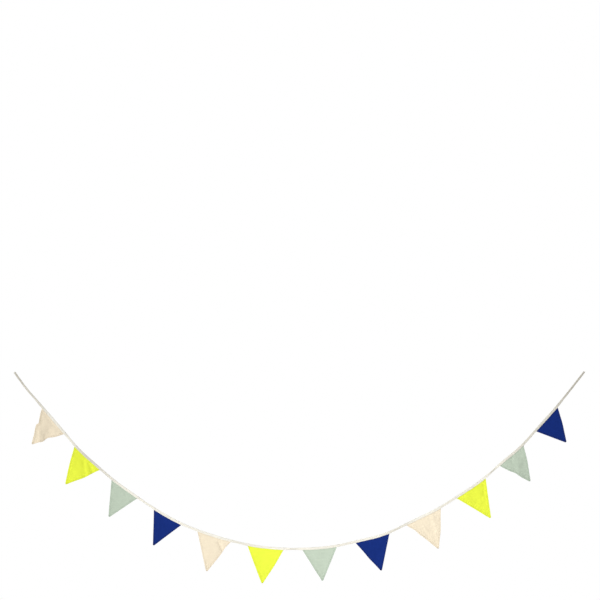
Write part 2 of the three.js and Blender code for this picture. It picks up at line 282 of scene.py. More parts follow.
# pennant: (along, down, to along, to down, rise, breadth to its left, breadth to its right).
CREASES = {
    1: [(10, 10, 48, 46, -0.4, 6, 8), (94, 30, 124, 54, -2.0, 20, 28), (96, 64, 114, 76, -1.6, 6, 9)],
    2: [(98, 12, 130, 28, -0.8, 4, 9), (76, 20, 108, 52, -0.6, 4, 10), (40, 40, 70, 100, 0.6, 6, 6)],
    3: [(60, 20, 66, 100, 0.6, 6, 6)],
    4: [(46, 30, 70, 92, 0.8, 6, 7)],
    5: [(100, 14, 124, 42, -1.5, 4, 12)],
    9: [(60, 20, 74, 110, 0.6, 5, 5)],
    10: [(139, 4, 106, 52, -0.8, 4, 5), (88, 58, 84, 66, -0.8, 4, 4)],
    11: [(75, 26, 41, 71, 0.3, 4, 8), (62, 8, 48, 20, -1.5, 4, 5)],
}
folds = sum(len(rows) for rows in FOLDS.values())
creases = sum(len(rows) for rows in CREASES.values())
print("pennants:", len(PENNANTS), "folds:", folds, "creases:", creases)

# %% [markdown]
# ## The line that the tape follows
# The tape's slope is known at the middle of each pennant and of each gap, and eases from one to the
# next. Walking along it in millimetre steps gives the sagging line. Everything else hangs from it.

# %% The tape's route
stretches = [LEFT_END]
for row in PENNANTS:
    named = dict(zip(COLUMNS, row))
    stretches.append(dict(length=named["gap"], slope=named["gap_slope"], sway=named["gap_sway"]))
    stretches.append(dict(length=named["width"], slope=named["slope"], sway=named["sway"]))
stretches.append(RIGHT_END)
ends = np.cumsum([stretch["length"] for stretch in stretches])
starts = np.concatenate([[0], ends[:-1]])
middles = (starts + ends) / 2
TAPE_LENGTH = float(ends[-1])


def gently(share):
    return share * share * (3 - 2 * share)


def smooth_step(low, high, value):
    return gently(np.clip((value - low) / (high - low), 0, 1))


def bell(distance, breadth):
    return np.exp(-((distance / breadth) ** 2))


def column_at(column, s, ease=gently):
    """A column's value at distance s, eased from the middle of each stretch to the next."""
    values = np.array([float(stretch[column]) for stretch in stretches])
    after = np.clip(np.searchsorted(middles, s, side="right"), 1, len(middles) - 1)
    share = (s - middles[after - 1]) / (middles[after] - middles[after - 1])
    return values[after - 1] + (values[after] - values[after - 1]) * ease(np.clip(share, 0, 1))


def slope_at(s):
    return np.radians(column_at("slope", s, ease=lambda share: share))


steps = slope_at(np.arange(int(TAPE_LENGTH) + 2) + 0.5)
begin = TAPE_AT_ENDS / 2 * np.array([math.sin(slope_at(0.0)), math.cos(slope_at(0.0))])
route_x = begin[0] + np.concatenate([[0], np.cumsum(np.cos(steps))])
route_z = begin[1] - np.concatenate([[0], np.cumsum(np.sin(steps))])


def route_at(s):
    """The top edge of the tape at distance s, and the way down across the tape there."""
    whole = np.arange(len(route_x))
    point = np.stack([np.interp(s, whole, route_x), column_at("sway", s), np.interp(s, whole, route_z)], -1)
    slope = slope_at(s)
    return point, np.stack([-np.sin(slope), np.zeros_like(slope), -np.cos(slope)], -1)


print(f"tape {TAPE_LENGTH / 1000:.3f} m, right end at x {route_x[int(TAPE_LENGTH)]:.1f} mm")

# %% [markdown]
# ## Weave
# Woven cotton is two sets of threads that pass over and under each other. Seen from above, each
# crossing shows one thread as a small oval, and its neighbours show the other set turned a quarter.
# A picture of cloth would do from afar, but blurs close up. So the weave is worked out from the
# cloth's own flat measure, stays sharp, and bends with every fold. It is a group, because cloth and
# tape both use it, each with its own number of threads.

# %% Weave group
weave, given, out = group(
    "plain weave",
    "Shader",
    {"Vector": "Vector", "Threads per metre": 2000.0, "Waver": 0.25},
    {"Height": "Float", "Gaps": "Float", "Slubs": "Float"},
)
counted = stretched(weave, given["Vector"], given["Threads per metre"])
waver = node(weave, "ShaderNodeTexNoise", {"Vector": counted, "Scale": 0.09, "Detail": 1.0})
shift = on_vectors(weave, "SUBTRACT", waver.outputs["Color"], (0.5, 0.5, 0.5))
shift = stretched(weave, shift, calc(weave, "MULTIPLY", given["Waver"], 6.0))
place = on_vectors(weave, "ADD", counted, shift)

# A thread is round, and dips where it goes under the other set. The crossings alternate, as on a
# chessboard.
split = node(weave, "ShaderNodeSeparateXYZ", {0: place}).outputs
u, v = split["X"], split["Y"]
round_u, round_v = (
    calc(weave, "ABSOLUTE", calc(weave, "SINE", calc(weave, "MULTIPLY", way, math.pi))) for way in (u, v)
)
warp = calc(weave, "MULTIPLY", round_u, calc(weave, "MULTIPLY_ADD", round_v, 0.65, 0.35))
weft = calc(weave, "MULTIPLY", round_v, calc(weave, "MULTIPLY_ADD", round_u, 0.65, 0.35))
cell = calc(weave, "ADD", calc(weave, "FLOOR", u), calc(weave, "FLOOR", v))
over = calc(weave, "PINGPONG", cell, 1.0)
height = blend(weave, "FLOAT", over, warp, weft)
weave.links.new(height, out["Height"])
# Gaps marks where the threads dip apart, and the dye group paints a shade there.
gaps = {"Value": height, "From Min": 0.05, "From Max": 0.4, "To Min": 1.0, "To Max": 0.0}
weave.links.new(first(weave, "ShaderNodeMapRange", gaps), out["Gaps"])

# A slub is a thicker length of one thread, so its noise is drawn out along the threads.
slubs = []
for along in ((1.0, 0.02, 1.0), (0.02, 1.0, 1.0)):
    drawn_out = on_vectors(weave, "MULTIPLY", place, along)
    slubs.append(first(weave, "ShaderNodeTexNoise", {"Vector": drawn_out, "Scale": 0.9, "Detail": 1.0}))
weave.links.new(blend(weave, "FLOAT", over, *slubs), out["Slubs"])
print("weave group:", len(weave.nodes), "nodes")

# %% [markdown]
# ## Colour of a dyed cloth, with painted shade
# Dyed cotton is never one flat colour: slubs take the dye differently, and there are broad soft patches.
# It is a little deeper where a hem is turned twice and the cloth lies triple, and painted shade is added
# there too, between the threads, round the tip and just below the tape. The tape gets a painted shade
# that is uneven along its length and deepest near its two ends. One group adds all of that to a plain
# colour.

# %% Dye and painted shade group
dye_and_shade, given, out = group(
    "colour and painted shade",
    "Shader",
    {
        "Colour": (0.8, 0.8, 0.8, 1.0),
        "Deep colour": (0.5, 0.5, 0.5, 1.0),
        "Gaps": 0.0,
        "Slubs": 0.5,
        "Layers and shade": 0.0,
        "Painted tape shade": 0.0,
        "Patches": 0.06,
        "In gaps": 0.2,
        "In hems and shade": 0.2,
        "In handled cloth": 0.7,
    },
    {"Colour": "Color"},
)
here = node(dye_and_shade, "ShaderNodeTexCoord").outputs["Object"]
broad = first(dye_and_shade, "ShaderNodeTexNoise", {"Vector": here, "Scale": 21.0, "Detail": 3.0, "Roughness": 0.6})
lifted = first(dye_and_shade, "ShaderNodeMapRange", {"Value": broad, "From Min": 0.35, "From Max": 0.65})
depth = calc(dye_and_shade, "MULTIPLY", lifted, given["Patches"])
# Painted shade goes in here: between the threads, along the hems, round the tip, below the tape and along
# the tape.
for where, amount in (("Gaps", "In gaps"), ("Layers and shade", "In hems and shade"), ("Painted tape shade", "In handled cloth")):
    depth = calc(dye_and_shade, "MULTIPLY_ADD", given[where], given[amount], depth)
thick = calc(dye_and_shade, "MULTIPLY_ADD", given["Slubs"], -0.3, 0.15)
depth = first(dye_and_shade, "ShaderNodeClamp", {"Value": calc(dye_and_shade, "ADD", depth, thick)})
dye_and_shade.links.new(blend(dye_and_shade, "RGBA", depth, given["Colour"], given["Deep colour"]), out["Colour"])
print("dye group:", len(dye_and_shade.nodes), "nodes")

# %% [markdown]
# ## The cloths
# All five cloths are the same recipe: the weave, the dye with its painted shade, and a matt surface with
# a little sheen from loose fibres. The shader stays in the material itself, and only the colour and the
# height of the threads come out of the groups. The tape is a closer weave than the pennants.

# %% Cloth materials
# cloth: (colour, deep colour, threads per metre, sheen)
CLOTHS = {
    "cream": ((0.87, 0.765, 0.585), (0.64, 0.54, 0.40), 2100, 0.10),
    "yellow": ((0.82, 0.91, 0.064), (0.62, 0.68, 0.02), 2100, 0.05),
    "sage": ((0.518, 0.602, 0.488), (0.35, 0.43, 0.34), 2100, 0.08),
    "blue": ((0.0055, 0.0255, 0.19), (0.002, 0.008, 0.07), 2100, 0.03),
    "tape": ((0.88, 0.85, 0.755), (0.486, 0.457, 0.39), 2600, 0.08),
}
THREAD_HEIGHT = 0.00016
PATTERN = "cut"  # the UV map that holds each cloth's flat measure


def new_material(name, settings):
    """A material, its tree and its surface's sockets, some of them set to plain values."""
    material = bpy.data.materials.new(name)
    material.use_nodes = True
    surface = material.node_tree.nodes["Principled BSDF"].inputs
    for socket, value in settings.items():
        surface[socket].default_value = value
    return material, material.node_tree, surface


def stored(tree, name):
    """A number that the mesh holds under a name."""
    return node(tree, "ShaderNodeAttribute", attribute_name=name).outputs["Fac"]


def cloth_material(name, colour, deep, threads, sheen):
    surface = {"Roughness": 0.88, "Specular IOR Level": 0.12}
    surface.update({"Sheen Weight": sheen, "Sheen Tint": (*colour, 1), "Sheen Roughness": 0.5})
    material, tree, surface = new_material(f"{name} cotton", surface)
    woven = {"Vector": first(tree, "ShaderNodeUVMap", uv_map=PATTERN), "Threads per metre": threads}
    woven = node(tree, "ShaderNodeGroup", woven, node_tree=weave).outputs
    colouring = {"Colour": (*colour, 1), "Deep colour": (*deep, 1)}
    colouring.update({"Gaps": woven["Gaps"], "Slubs": woven["Slubs"]})
    # The hem depth with its painted shade, and the tape's painted shade along its length, come from the
    # mesh.
    colouring.update({"Layers and shade": stored(tree, "layers"), "Painted tape shade": stored(tree, "handled")})
    tree.links.new(first(tree, "ShaderNodeGroup", colouring, node_tree=dye_and_shade), surface["Base Color"])
    raised = calc(tree, "MULTIPLY_ADD", woven["Slubs"], 0.6, woven["Height"])
    bump = {"Strength": 0.5, "Distance": THREAD_HEIGHT, "Height": raised}
    tree.links.new(first(tree, "ShaderNodeBump", bump), surface["Normal"])
    return material


cloths = {name: cloth_material(name, *recipe) for name, recipe in CLOTHS.items()}
print("cloth materials:", ", ".join(cloths))

# %% [markdown]
# ## Sewing thread
# Thread is two or three plies twisted together, which shows as slanting stripes of light and shade.
# Each stitch carries a number that grows along it and round it, and a sine of that number draws the
# plies. The thread is a shade deeper than its cloth, so that the seams read as fine lines.

# %% Thread materials
PLY = "ply"
PLY_DEPTH = 0.00005
GROOVE_SHADE = 0.8
THREAD_SHADE = {"tape": 0.97}
OTHER_THREAD_SHADE = 0.85


def thread_material(name, colour):
    material, tree, surface = new_material(f"{name} thread", {"Roughness": 0.7, "Sheen Weight": 0.2})
    wave = calc(tree, "SINE", calc(tree, "MULTIPLY", stored(tree, PLY), 2 * math.pi))
    groove = calc(tree, "MULTIPLY_ADD", wave, -0.5, 0.5)
    light = [part * THREAD_SHADE.get(name, OTHER_THREAD_SHADE) for part in colour]
    dark = [part * GROOVE_SHADE for part in light]
    tree.links.new(blend(tree, "RGBA", groove, (*light, 1), (*dark, 1)), surface["Base Color"])
    bump = first(tree, "ShaderNodeBump", {"Strength": 0.5, "Distance": PLY_DEPTH, "Height": wave})
    tree.links.new(bump, surface["Normal"])
    return material


threads = {name: thread_material(name, recipe[0]) for name, recipe in CLOTHS.items()}
print("thread materials:", ", ".join(threads))

# %% [markdown]
# ## Where each pennant sits
# A pennant is sewn between the leaves of the tape with its top edge hidden there. Its seat holds the
# two visible corners, the directions along and down its sheet, and the point where its two straight
# sides would meet below the rounded tip.

# %% Seats
BACK = np.array([0.0, 1.0, 0.0])


def side_of(seat, top, way):
    """Where one side of the flat triangle starts, the way down along it, and the way inward from it."""
    run = np.array([seat.apex_x - top, seat.to_apex])
    run = run / np.linalg.norm(run)
    return top, run, way * np.array([run[1], -run[0]])


def make_seat(number, row):
    seat = SimpleNamespace(number=number, **dict(zip(COLUMNS, row)))
    seat.node = f"pennant_{number:02d}_{seat.colour}"
    seat.start = starts[2 * number]
    corner, down = route_at(np.array([seat.start, seat.start + seat.width]))
    corner = corner + down * TAPE_OVER_PENNANT
    corner[:, 1] = 0
    seat.left = corner[0]
    seat.onward = (corner[1] - corner[0]) / np.linalg.norm(corner[1] - corner[0])
    seat.downward = np.cross(BACK, seat.onward)
    seat.lean = HIDDEN * seat.tip_at / seat.depth
    seat.top_start = seat.start - seat.lean
    seat.top_width = seat.width + HIDDEN * seat.width / seat.depth
    seat.top_end = seat.top_start + seat.top_width
    seat.half_angle = math.atan(seat.width / 2 / seat.depth)
    beyond_tip = TIP_RADIUS / math.sin(seat.half_angle) - TIP_RADIUS
    seat.to_apex = seat.depth + HIDDEN + beyond_tip
    seat.apex_x = seat.lean + seat.tip_at
    seat.apex = seat.left + seat.onward * seat.tip_at + seat.downward * (seat.depth + beyond_tip)
    seat.emerging = 1 - (HIDDEN + EMERGING) / seat.to_apex
    seat.sides = {"left": side_of(seat, 0.0, 1), "right": side_of(seat, seat.top_width, -1)}
    return seat


seats = [make_seat(number, row) for number, row in enumerate(PENNANTS, 1)]
for seat in seats:
    print(seat.node, "corner", np.round(seat.left / 1000, 3), "top", round(seat.top_width, 1), "mm")

# %% [markdown]
# ## How the cloth hangs
# Each pennant is cut flat, so its points are kept in its own flat measure: x along the hidden top edge
# and y down from it. A cloth simulation could hang it, but would not keep its own outline and folds.
# One function says instead where any flat point hangs. It adds, in turn, the bow of the whole sheet,
# the main folds, faint ripples left by folding and ironing, the flutter of a hem that stretched while
# it was sewn, the creases, and the small puckers between stitches. The folds and creases are placed one
# by one, because each one catches the light in its own way. A ripple is a sum of sine waves from a
# seeded table, which is smooth everywhere and the same on every run.

# %% Waves for the small unevenness


def waves(seed, count, shortest, longest):
    """Rows of (across, down, phase) for sine waves in scattered directions."""
    draw = np.random.default_rng(seed)
    pace = 2 * math.pi / (shortest * (longest / shortest) ** draw.random(count))
    turn = draw.uniform(0, 2 * math.pi, count)
    return np.stack([pace * np.cos(turn), pace * np.sin(turn), draw.uniform(0, 2 * math.pi, count)], -1)


def ripple(table, x, y=0.0):
    """The waves' sum at each point, mostly between -1 and 1."""
    total = sum(np.sin(across * x + down * y + phase) for across, down, phase in table)
    return total / math.sqrt(len(table))


for seat in seats:
    seat.ripples = waves(100 + seat.number, 9, 26, 70)
    seat.flutter = waves(200 + seat.number, 5, 24, 60)
    seat.puckers = waves(300 + seat.number, 5, 6, 11)
print("wave tables:", 3 * len(seats))

# %% Folds, creases and bent sides


def from_side(seat, side, x, y):
    """How far a flat point lies inside the left or right side, and how far down along it."""
    top, run, inward = seat.sides[side]
    return (x - top) * inward[0] + y * inward[1], (x - top) * run[0] + y * run[1]


def rise_of(rows, along, below):
    """How far folds or creases lift a place in the hanging sheet. A last pair of breadths that differ
    makes a crease steeper on one side than on the other."""
    rise = np.zeros_like(along)
    for start_along, start_down, end_along, end_down, height, *breadths in rows:
        run = np.array([end_along - start_along, end_down - start_down], float)
        away = np.stack([along - start_along, below - start_down])
        share = np.clip((away[0] * run[0] + away[1] * run[1]) / (run @ run), 0, 1)
        off = np.hypot(away[0] - share * run[0], away[1] - share * run[1])
        turned = (run[0] * away[1] - run[1] * away[0]) / np.linalg.norm(run)
        breadth = breadths[-1] + (breadths[0] - breadths[-1]) * smooth_step(-2, 2, turned)
        rise = rise + height * bell(off, breadth)
    return rise


def side_bend(seat, side, below):
    rows = SIDE_BENDS.get((seat.number, side), [])
    return sum((by * bell(below - down, spread) for down, by, spread in rows), 0 * below)


# %% How far the cloth stands forward
HEM_WIDTH = 8.0
HEM_STITCH = 6.4  # from the folded edge to the row of stitches
RIPPLE_HEIGHT = 0.45
FLUTTER_HEIGHT = 0.7
FLUTTER_REACH = 14.0  # how far in from the side it lasts
TOP_PUCKERS = 0.16
TOP_PUCKER_REACH = 9.0  # how far below the tape they last
HEM_PUCKERS = 0.15
HEM_PUCKER_BREADTH = 4.5  # how far they spread either way from the stitches
SMALL_FREE_BELOW = 6.0
# Where each side starts in the seat's waves for flutter and for puckers, so that the two differ.
SIDE_STARTS = {"left": (40.0, 9.0), "right": (0.0, 0.0)}


def forward_of(seat, x, y, along, below, across):
    """How far the cloth stands forward of the tape's plane."""
    fall = np.clip(below / seat.depth, 0, 1)
    bow = seat.tip_out * fall**2 + seat.belly * np.sin(math.pi * fall)
    bow = bow + seat.cup * across**2 * np.sqrt(fall) * (1 - fall)
    bow = bow + rise_of(FOLDS.get(seat.number, []), along, below)
    bow = bow + RIPPLE_HEIGHT * ripple(seat.ripples, x, y)
    small = rise_of(CREASES.get(seat.number, []), along, below)
    under_tape = np.exp(-np.maximum(below, 0) / TOP_PUCKER_REACH)
    small = small + TOP_PUCKERS * ripple(seat.puckers, x) * under_tape
    for side, (flutter_start, pucker_start) in SIDE_STARTS.items():
        inside, along_side = from_side(seat, side, x, y)
        inside = np.maximum(inside, 0)
        flutter = FLUTTER_HEIGHT * ripple(seat.flutter, along_side, flutter_start)
        bow = bow + flutter * np.exp(-inside / FLUTTER_REACH)
        puckers = HEM_PUCKERS * ripple(seat.puckers, along_side, pucker_start)
        small = small + puckers * bell(inside - HEM_STITCH, HEM_PUCKER_BREADTH)
    free = smooth_step(EMERGING, EMERGING + FREE_BELOW, below)
    return bow * free + small * smooth_step(EMERGING, EMERGING + SMALL_FREE_BELOW, below)


# %% Hanging the flat cloth


def hung(seat, x, y):
    """Where flat points (x, y) are on the hanging cloth's middle surface."""
    share = 1 - y / seat.to_apex
    top_x = seat.apex_x + (x - seat.apex_x) / share
    across = 2 * top_x / seat.top_width - 1
    edge, down = route_at(seat.top_start + top_x)
    edge = edge + down * TOP_INSET
    edge[:, 1] = 0
    point = seat.apex + (edge - seat.apex) * share[:, None]
    from_left = point - seat.left
    along, below = from_left @ seat.onward, from_left @ seat.downward
    leftward = side_bend(seat, "left", below) * np.maximum(-across, 0)
    rightward = side_bend(seat, "right", below) * np.maximum(across, 0)
    point = point + seat.onward * (rightward - leftward)[:, None]
    sway = column_at("sway", seat.start + along) * np.minimum(share / seat.emerging, 1)
    point[:, 1] = sway - forward_of(seat, x, y, along, below, across)
    return point


NUDGE = 0.25


def hung_with_normal(seat, x, y):
    """The hanging point, and the way that its front faces."""
    point = hung(seat, x, y)
    onward = hung(seat, x + NUDGE, y) - point
    downward = hung(seat, x, y - NUDGE) - point
    normal = np.cross(onward, downward)
    return point, normal / np.linalg.norm(normal, axis=1)[:, None]


# %% [markdown]
# ## Cutting a pennant and turning its hems
# The flat shape is a triangle with a rounded tip. Its hems are turned twice to the back, so the cloth
# is three layers thick there and ends in a small ledge, and near the tip the two hems cross. A Solidify
# modifier would thicken one sheet evenly and lose all of that, so both faces are worked out. Two
# sheets of points, front and back, share the folded edge. The points follow rows parallel to the edge,
# close together where the fold and the ledge turn sharply, and an even net fills the middle. Blender's
# own Delaunay call joins them into triangles.

# %% The flat outline
EDGE_SPACING = 1.9
TOP_SPACING = 3.0
TIP_STEPS = 6


def at_share(seat, share, across):
    """The flat point at a share of the way up from the apex, and across from -1 to 1."""
    top_x = (across + 1) / 2 * seat.top_width
    return seat.apex_x + (top_x - seat.apex_x) * share, (1 - share) * seat.to_apex


def outline(seat):
    """The points of the flat top edge, and those of the two sides and the tip."""
    count = round(seat.top_width / TOP_SPACING)
    top = [(x, 0.0) for x in np.linspace(0, seat.top_width, count + 1)]
    reach = seat.to_apex - TIP_RADIUS * math.cos(seat.half_angle) ** 2 / math.sin(seat.half_angle)
    count = round(reach / math.cos(seat.half_angle) / EDGE_SPACING)
    heights = [(1 - step / count * reach / seat.to_apex, 1.0) for step in range(1, count + 1)]
    for turn in np.linspace(math.pi / 2 - seat.half_angle, 0, TIP_STEPS + 1)[1:]:
        height = TIP_RADIUS / math.sin(seat.half_angle) - TIP_RADIUS * math.cos(turn)
        narrow = TIP_RADIUS * math.sin(turn) / (height * math.tan(seat.half_angle))
        heights.append((height / seat.to_apex, narrow))
    right = [at_share(seat, share, across) for share, across in heights]
    left = [at_share(seat, share, -across) for share, across in heights[-2::-1]]
    return np.array(top), np.array(right + left)


def nearest(points, line):
    """Each point's distance from an open line of points."""
    start, run = line[:-1], np.diff(line, axis=0)
    away = points[:, None, :] - start[None]
    share = np.clip((away * run).sum(-1) / (run * run).sum(-1), 0, 1)
    return np.linalg.norm(away - share[..., None] * run, axis=-1).min(axis=1)


for seat in seats:
    top, seat.rim = outline(seat)
    seat.loop = np.concatenate([top, seat.rim, top[:1]])  # all the way round
    seat.folded = np.concatenate([top[-1:], seat.rim, top[:1]])  # down one side and up the other
print("points round each pennant:", [len(seat.loop) - 1 for seat in seats])

# %% The net of points inside it
NET_SPACING = 2.7
LEDGE = (HEM_WIDTH - 0.1, HEM_WIDTH + 0.05)  # the turned hem's inner edge drops away here
ROWS = [0.07, 0.22, 0.45, 0.8, 2.2, 4.0, 5.6, HEM_STITCH, 7.2, *LEDGE, HEM_WIDTH + 0.6, HEM_WIDTH + 2]
ROW_SLACK = 0.03
CLEAR_OF_TOP = 0.8


def net(seat):
    """The flat points and triangles of one pennant."""
    run = seat.folded[2:] - seat.folded[:-2]
    inward = np.stack([-run[:, 1], run[:, 0]], -1) / np.linalg.norm(run, axis=1)[:, None]
    points, edges = [seat.loop[:-1]], []
    boundary = list(range(len(seat.loop) - 1))
    count = len(boundary)
    for row in ROWS:
        moved = seat.rim + inward * row
        kept = moved[(nearest(moved, seat.folded) > row - ROW_SLACK) & (moved[:, 1] > CLEAR_OF_TOP)]
        for index in range(len(kept) - 1):
            if np.linalg.norm(kept[index + 1] - kept[index]) < 2 * EDGE_SPACING:
                edges.append((count + index, count + index + 1))
        points.append(kept)
        count += len(kept)
    rise = NET_SPACING * math.sqrt(3) / 2
    line, column = np.mgrid[: int(seat.to_apex / rise), : int(seat.top_width / NET_SPACING) + 1]
    lattice = np.stack([NET_SPACING * (column + (line % 2) / 2), rise * (line + 0.5)], -1).reshape(-1, 2)
    inside = np.minimum(*[from_side(seat, side, *lattice.T)[0] for side in seat.sides])
    points.append(lattice[inside > ROWS[-1] + 0.5 * NET_SPACING])
    flat = np.concatenate(points)
    made = geometry.delaunay_2d_cdt([Vector(p) for p in flat.tolist()], edges, [boundary], 1, 1e-5, False)
    flat, triangles = np.array(made[0]), np.array(made[2])
    centres = flat[triangles].mean(axis=1)
    sliver = nearest(centres, seat.loop) < ROWS[0] / 5
    return flat, triangles[~sliver]


# %% Thickness of the cloth and its hems
LAYER = 0.42
ROUNDING = 0.8
SWELL = (HEM_WIDTH - 1.0, HEM_WIDTH + 1.5)
FRONT_SWELL = 0.12
HEM_BEHIND = 0.62
CROSSING_BEHIND = 0.4  # more of it where the two hems cross
SEAM_BREADTH = 0.6
SUNK = {"front": 0.13, "back": 0.15}  # how far a row of stitches sinks in
# Painted shade in the colour: extra depth round the tip, for its crossed hems and the shade there, and a
# painted shadow just below the tape.
TIP_LAYERS_AND_SHADE, TIP_REACH = 3.0, 6.0
SHADOW_UNDER_TAPE, SHADOW_REACH = 1.2, 4.0


def build_up(seat, x, y, edge):
    """How far the front and back stand off the middle surface, and how deep the colour is: deeper where hems
    are turned, with painted shade along them, round the tip and below the tape.
    """
    turned = np.sqrt(1 - (1 - np.clip(edge / ROUNDING, 0, 1)) ** 2)
    hems = [from_side(seat, side, x, y)[0] for side in seat.sides]
    over = [1 - smooth_step(*LEDGE, inside) for inside in hems]
    swell = np.maximum(*[1 - smooth_step(*SWELL, inside) for inside in hems])
    seam = np.clip(sum(bell(inside - HEM_STITCH, SEAM_BREADTH) for inside in hems), 0, 1)
    front = LAYER / 2 + FRONT_SWELL * swell - SUNK["front"] * seam
    back = LAYER / 2 + HEM_BEHIND * np.maximum(*over) + CROSSING_BEHIND * np.minimum(*over)
    back = back - SUNK["back"] * seam
    from_tip = np.hypot(x - seat.apex_x, y - seat.depth - HIDDEN)
    # The colour deepens with the hems, and painted shade is added round the tip and as a painted shadow
    # below the tape.
    shade = sum(over) + TIP_LAYERS_AND_SHADE * bell(from_tip, TIP_REACH)
    shade = shade + SHADOW_UNDER_TAPE * bell(y - HIDDEN, SHADOW_REACH)
    return front * turned, back * turned, shade


# %% Cut, hem and hang the pennants


def lay_pattern(made, seat, flat, faces, inner):
    """The flat measure as a UV map. A turned hem shows the cloth mirrored about its folded edge."""
    measure = np.concatenate([flat, flat[inner]])[faces]
    is_back = np.arange(len(faces)) >= len(faces) // 2
    for side, (_, _, inward) in seat.sides.items():
        inside = from_side(seat, side, measure[..., 0], measure[..., 1])[0]
        in_hem = is_back & (inside.max(axis=1) < HEM_WIDTH)
        measure[in_hem] -= 2 * inside[in_hem][..., None] * inward
    layer = made.data.uv_layers.new(name=PATTERN)
    layer.uv.foreach_set("vector", (measure * MM).astype(np.float32).ravel())


def pennant_cloth(seat):
    flat, triangles = net(seat)
    x, y = flat.T
    edge = nearest(flat, seat.loop)
    middle, normal = hung_with_normal(seat, x, y)
    front, back, layers = build_up(seat, x, y, edge)
    inner = np.flatnonzero(edge >= 1e-3)
    behind = np.arange(len(flat))
    behind[inner] = len(flat) + np.arange(len(inner))
    points = np.concatenate([middle + normal * front[:, None], (middle - normal * back[:, None])[inner]])
    a, b, c = (middle[triangles[:, corner]] for corner in range(3))
    if (np.cross(b - a, c - a)[:, 1]).sum() > 0:
        triangles = triangles[:, ::-1]
    faces = np.concatenate([triangles, behind[triangles[:, ::-1]]])
    made = mesh_object(f"{seat.node}_cloth", points, faces=faces.tolist())
    # The colour depth from the hems and from painted shade goes to the dye group.
    give(made, layers=np.concatenate([layers, layers[inner]]))
    lay_pattern(made, seat, flat, faces, inner)
    made.data.materials.append(cloths[seat.colour])
    made.data.shade_smooth()
    return made


pennants = [pennant_cloth(seat) for seat in seats]
for made in pennants:
    print(made.name, len(made.data.vertices), "points", len(made.data.polygons), "triangles")

# %% [markdown]
# ## The binding tape
# The tape is one strip, folded in four: both long edges are turned in, and then it is folded in half
# over the pennants. Its section is the same everywhere apart from how tall the fold is and how far
# its leaves stand apart, so it is a rule and not a drawing. Geometry Nodes sweeps a section along the
# route, and moves each point of the result to (down, out) as that rule says: every section point
# holds what share of the height and of the slot it takes, plus a plain offset. The tape's colour gets
# a painted shade that is uneven along its length and deepest near its two ends, so each stretch is given its
# own.

# %% The section's rule
STRIP = 0.42
LEAF = 2 * STRIP + 0.1
RIDGE = 1.0
RAW_EDGE = 2.4
TAPE_STITCH = 2.0  # from the tape's lower edge up to the row of stitches
DIMPLE = 0.7  # how far above and below that row a stitch pulls the leaf in

# Each row: share of height, offset down, share of the half slot, offset out, share of the pinch.
front_half = [(0, (STRIP + RIDGE) / 2, 0.7, 0.7 * (LEAF - STRIP), 0)]
front_half += [(0, 1.6, 1, LEAF - STRIP, 0), (1, -TAPE_STITCH, 1, LEAF - STRIP, 0)]
front_half += [(1, -LEAF / 2, 1, LEAF - STRIP, 0), (1, -LEAF / 2, 1, STRIP, 0)]
front_half += [(0, RAW_EDGE, 1, STRIP, 0), (0, RAW_EDGE, 1, 0, 0)]
front_half += [(1, -TAPE_STITCH, 1, 0, 0)]
for degrees in (0, 60, 120, 180):
    turn = math.radians(degrees)
    front_half.append((1, -LEAF / 2 * (1 - math.sin(turn)), 1, LEAF / 2 * (1 - math.cos(turn)), 0))
front_half += [(1, DIMPLE - TAPE_STITCH, 1, LEAF, 0.35), (1, -TAPE_STITCH, 1, LEAF, 1)]
front_half += [(1, -TAPE_STITCH - DIMPLE, 1, LEAF, 0.35), (0.45, 0, 1, LEAF, 0)]
for degrees in (90, 65, 40, 18):
    turn = math.radians(degrees)
    front_half.append((0, RIDGE * (1 - math.cos(turn)), math.sin(turn), LEAF * math.sin(turn), 0))

section = [(*row, 1) for row in front_half]
section += [(0, 0, 0, 0, 0, 1)]
section += [(*row, -1) for row in reversed(front_half)]
section += [(0, STRIP, 0, 0, 0, -1)]
print("section points:", len(section))

# %% The tape's height, slot and shade along its route
STATION = 1.3
SLOT = {"closed": 0.12, "over cloth": 0.45, "over a hem": 1.0}
HEM_MIDDLE, HEM_REACH = 4.0, 7.0
NARROWS_BETWEEN = (9.0, 40.0)  # beyond the first and last pennants
UNEVEN_HEIGHT = 0.22

# How deep the tape's painted shade is at the middle of each stretch, from the left end to the right end.
TAPE_SHADES = [1.0, 0.68, 0, 0.2, 0.75, 0.4, 0, 0, 0.1, 0.05, 0, 0.3, 0.1]
TAPE_SHADES += [0.15, 0.2, 0.3, 0.1, 0.4, 0, 0.3, 0.15, 0, 0.25, 0.55, 0.4, 1.0]
for part, shade in zip(stretches, TAPE_SHADES):
    part["shade"] = shade

stations = np.linspace(0, TAPE_LENGTH, round(TAPE_LENGTH / STATION) + 1)
tape_height = np.full_like(stations, TAPE_BARE)
half_slot = np.full_like(stations, SLOT["closed"])
covered = np.zeros_like(stations)
for seat in seats:
    begin, end = seat.top_start - OPEN_MARGIN, seat.top_end + OPEN_MARGIN
    cover = smooth_step(begin - CLOSING_LENGTH, begin, stations)
    cover = cover * (1 - smooth_step(end, end + CLOSING_LENGTH, stations))
    hems = np.array([[seat.top_start + HEM_MIDDLE], [seat.top_end - HEM_MIDDLE]])
    over_hem = np.exp(-(((stations - hems) / HEM_REACH) ** 4)).sum(axis=0)
    wider = SLOT["over cloth"] - SLOT["closed"] + over_hem * (SLOT["over a hem"] - SLOT["over cloth"])
    tape_height += (TAPE_OVER_PENNANT - TAPE_BARE) * cover
    half_slot += cover * wider
    covered += cover
near, far = NARROWS_BETWEEN
narrowing = 1 - smooth_step(seats[0].top_start - far, seats[0].top_start - near, stations)
narrowing += smooth_step(seats[-1].top_end + near, seats[-1].top_end + far, stations)
tape_height -= (TAPE_BARE - TAPE_AT_ENDS) * narrowing
